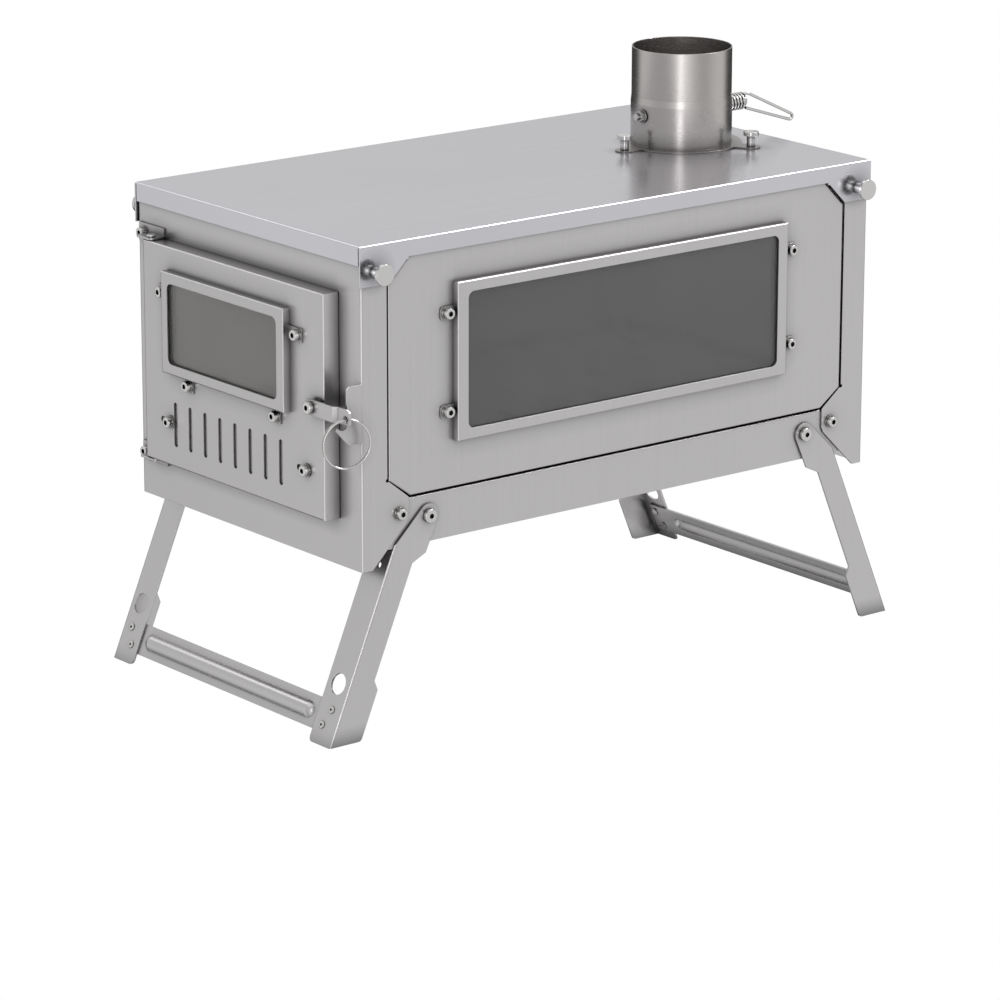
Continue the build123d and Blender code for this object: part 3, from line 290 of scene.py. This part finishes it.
def level_ramp(tree, source, levels):
    """Brightness by position along a ramp from 0 to 1."""
    curve = add(tree, "ShaderNodeFloatCurve")
    points = curve.mapping.curves[0].points
    curve.mapping.use_clip = False
    for at, level in levels[1:-1]:
        points.new(at, level)
    points[0].location = levels[0]
    points[len(levels) - 1].location = levels[-1]
    curve.mapping.update()
    tree.links.new(source, curve.inputs["Value"])
    return curve.outputs["Value"]


def place_on_ring(tree, direction):
    """Where a direction points round the ring: 0 at the far side and 1 at the viewer's side."""
    flat = add(tree, "ShaderNodeVectorMath", operation="MULTIPLY")
    flat.inputs[1].default_value = (1.0, 1.0, 0.0)
    level = add(tree, "ShaderNodeVectorMath", operation="NORMALIZE")
    toward = add(tree, "ShaderNodeVectorMath", operation="DOT_PRODUCT")
    toward.inputs[1].default_value = VIEWER_SIDE
    around = add(tree, "ShaderNodeMapRange")
    around.inputs["From Min"].default_value = -1.0
    tree.links.new(direction, flat.inputs[0])
    tree.links.new(flat.outputs["Vector"], level.inputs[0])
    tree.links.new(level.outputs["Vector"], toward.inputs[0])
    tree.links.new(toward.outputs["Value"], around.inputs["Value"])
    return around.outputs["Result"]


def studio_strength(tree):
    """Brightness by direction: the ring near the horizon, which blends into the sky above it."""
    place = add(tree, "ShaderNodeTexCoord")
    direction = place.outputs["Generated"]
    split = add(tree, "ShaderNodeSeparateXYZ")
    rise = add(tree, "ShaderNodeMapRange", interpolation_type="SMOOTHSTEP")
    rise.inputs["From Max"].default_value = RING_TOP
    strength = add(tree, "ShaderNodeMix", data_type="FLOAT")
    tree.links.new(direction, split.inputs["Vector"])
    tree.links.new(split.outputs["Z"], rise.inputs["Value"])
    tree.links.new(rise.outputs["Result"], strength.inputs[0])
    tree.links.new(level_ramp(tree, place_on_ring(tree, direction), RING_LEVELS), strength.inputs[2])
    tree.links.new(level_ramp(tree, split.outputs["Z"], SKY_LEVELS), strength.inputs[3])
    return strength.outputs[0]


def make_world():
    """White to the camera. To the metal, a ring that is brightest on the viewer's side, and a soft sky."""
    world = bpy.data.worlds.new("studio")
    world.use_nodes = True
    bpy.context.scene.world = world
    tree = world.node_tree
    tree.nodes.clear()
    output = tree.nodes.new("ShaderNodeOutputWorld")
    sky = add(tree, "ShaderNodeBackground")
    white = add(tree, "ShaderNodeBackground")
    sky.inputs["Color"].default_value = rgba(WHITE)
    white.inputs["Color"].default_value = rgba(WHITE)
    rays = add(tree, "ShaderNodeLightPath")
    mix = add(tree, "ShaderNodeMixShader")
    tree.links.new(studio_strength(tree), sky.inputs["Strength"])
    tree.links.new(rays.outputs["Is Camera Ray"], mix.inputs[0])
    tree.links.new(sky.outputs["Background"], mix.inputs[1])
    tree.links.new(white.outputs["Background"], mix.inputs[2])
    tree.links.new(mix.outputs["Shader"], output.inputs["Surface"])


def area_light(name, place, target, size, power, colour=WHITE):
    """A large soft light aimed at a point."""
    data = bpy.data.lights.new(name, "AREA")
    data.shape = "RECTANGLE"
    data.size = size[0]
    data.size_y = size[1]
    data.energy = power
    data.color = colour
    light = bpy.data.objects.new(name, data)
    light.location = place
    aim = Vector(target) - Vector(place)
    light.rotation_euler = aim.to_track_quat("-Z", "Y").to_euler()
    bpy.context.scene.collection.objects.link(light)


def make_lights():
    """Soft studio light: a key, two that draw the folded edges and a narrow one by the viewer."""
    area_light("key", (2.0, 0.6, 1.9), (0.0, 0.0, 0.15), (1.2, 1.2), 5.0, (1.0, 0.995, 0.985))
    area_light("rear_edge", (0.75, 1.35, 1.85), (0.1, 0.0, 0.28), (0.7, 0.7), 20.0)
    area_light("front_edge", (-1.5, -0.6, 1.5), (0.0, -0.19, 0.28), (0.6, 0.6), 1.6)
    area_light("viewer", (1.35, -1.15, 0.5), (0.0, 0.0, 0.15), (0.25, 1.0), 2.5)


def set_view():
    """Plain colours with no film look."""
    scene = bpy.context.scene
    scene.view_settings.view_transform = "Standard"
    scene.view_settings.look = "None"


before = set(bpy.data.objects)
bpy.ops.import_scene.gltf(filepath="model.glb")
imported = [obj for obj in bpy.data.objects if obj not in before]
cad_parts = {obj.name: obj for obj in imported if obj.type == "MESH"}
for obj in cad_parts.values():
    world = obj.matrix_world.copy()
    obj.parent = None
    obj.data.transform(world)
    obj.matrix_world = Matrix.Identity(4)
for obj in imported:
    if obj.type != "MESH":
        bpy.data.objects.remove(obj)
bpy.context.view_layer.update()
paint_nodes(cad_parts)
make_camera()
make_floor()
make_world()
make_lights()
set_view()
